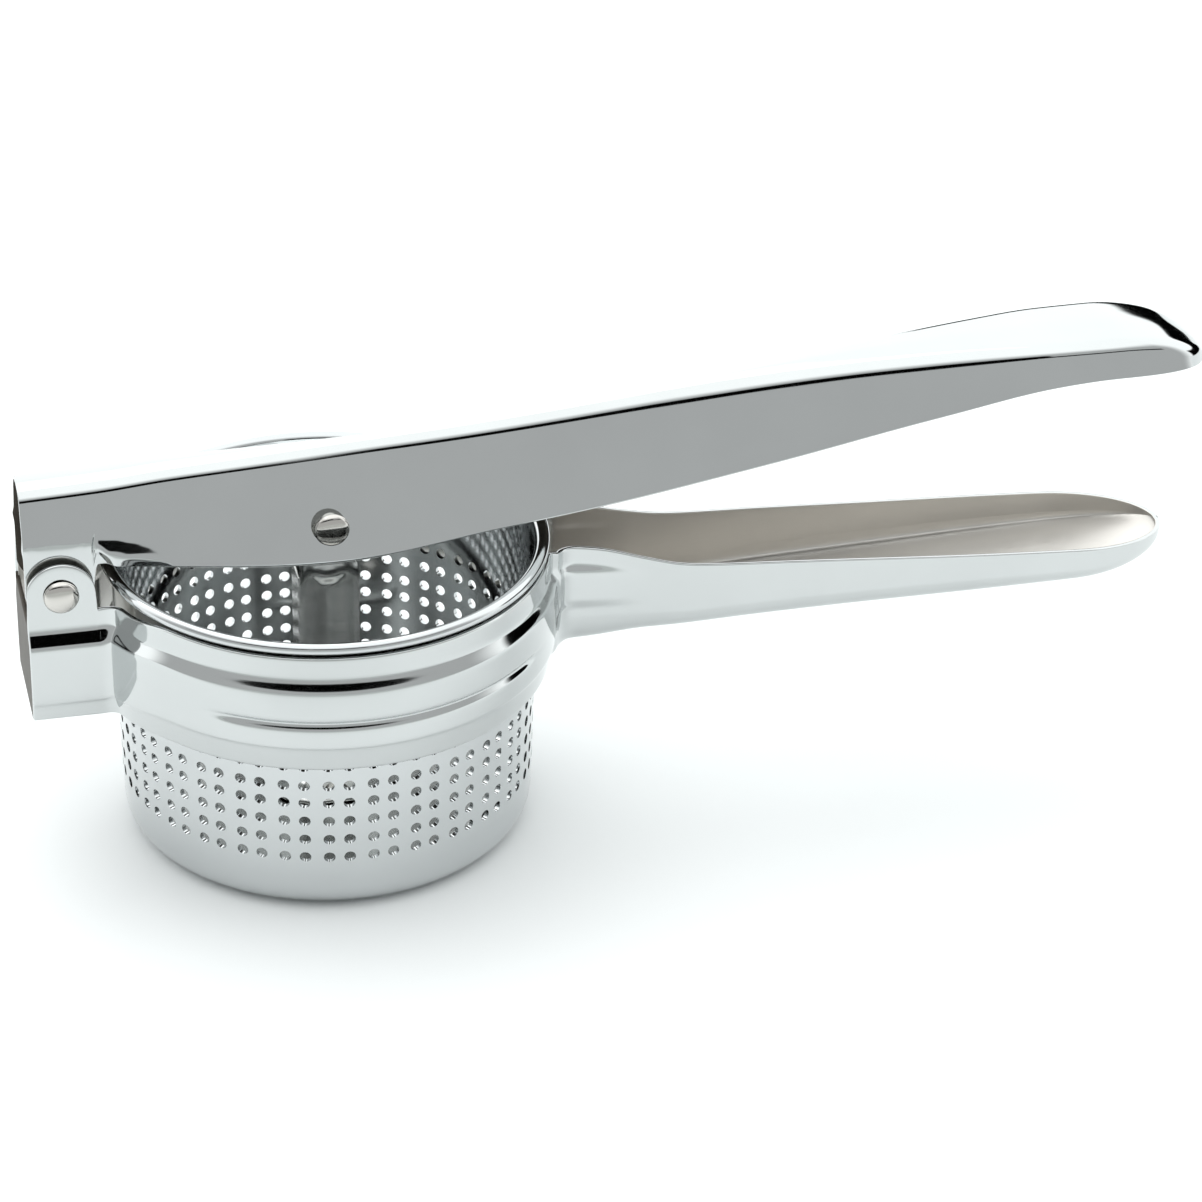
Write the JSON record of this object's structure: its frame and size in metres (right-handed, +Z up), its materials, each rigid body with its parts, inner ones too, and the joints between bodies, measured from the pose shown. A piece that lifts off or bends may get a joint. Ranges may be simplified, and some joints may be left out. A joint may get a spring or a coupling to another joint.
{
  "type": "potato ricer",
  "caption": "Hand-held potato ricer: a pressed-steel frame holds a basket, and a hinged lever drives a pivoting plunger down into it.",
  "frame": {"origin": "centre of the basket's flat bottom face", "axes": "+X from the basket towards the grips, +Z up along the basket's axis, +Y across; the hinge is on the -X side"},
  "size_m": [0.2506, 0.0962, 0.0979],
  "materials": {
    "chrome": "mirror-polished chrome plate",
    "basket_chrome": "polished chrome plate, perforated",
    "plunger_chrome": "polished chrome plate",
    "rivet_steel": "polished rivet heads"
  },
  "bodies": {
    "frame": {"frame": "chrome", "basket": "basket_chrome", "hinge_rivet": "rivet_steel"},
    "lever": {"lever": "chrome", "hinge_sleeve": "rivet_steel", "plunger_rivet": "rivet_steel"},
    "plunger": {"plunger_stem": "plunger_chrome", "plunger_disc": "plunger_chrome", "plunger_sleeve": "rivet_steel", "foot_rivet_near": "rivet_steel", "foot_rivet_far": "rivet_steel", "foot_rivet_left": "rivet_steel"}
  },
  "joints": [
    {"name": "lever_hinge", "type": "hinge", "parent": "frame", "child": "lever", "pos_m": [-0.0555, 0, 0.0624], "axis": [0, -1, 0], "range_deg": [0, 50]},
    {"name": "plunger_hinge", "type": "hinge", "parent": "lever", "child": "plunger", "pos_m": [0, 0, 0.071], "axis": [0, -1, 0], "range_deg": [-28.5, 0]}
  ],
  "couplings": [
    {"joint": "plunger_hinge", "follows": "lever_hinge", "ratio": -0.56}
  ]
}
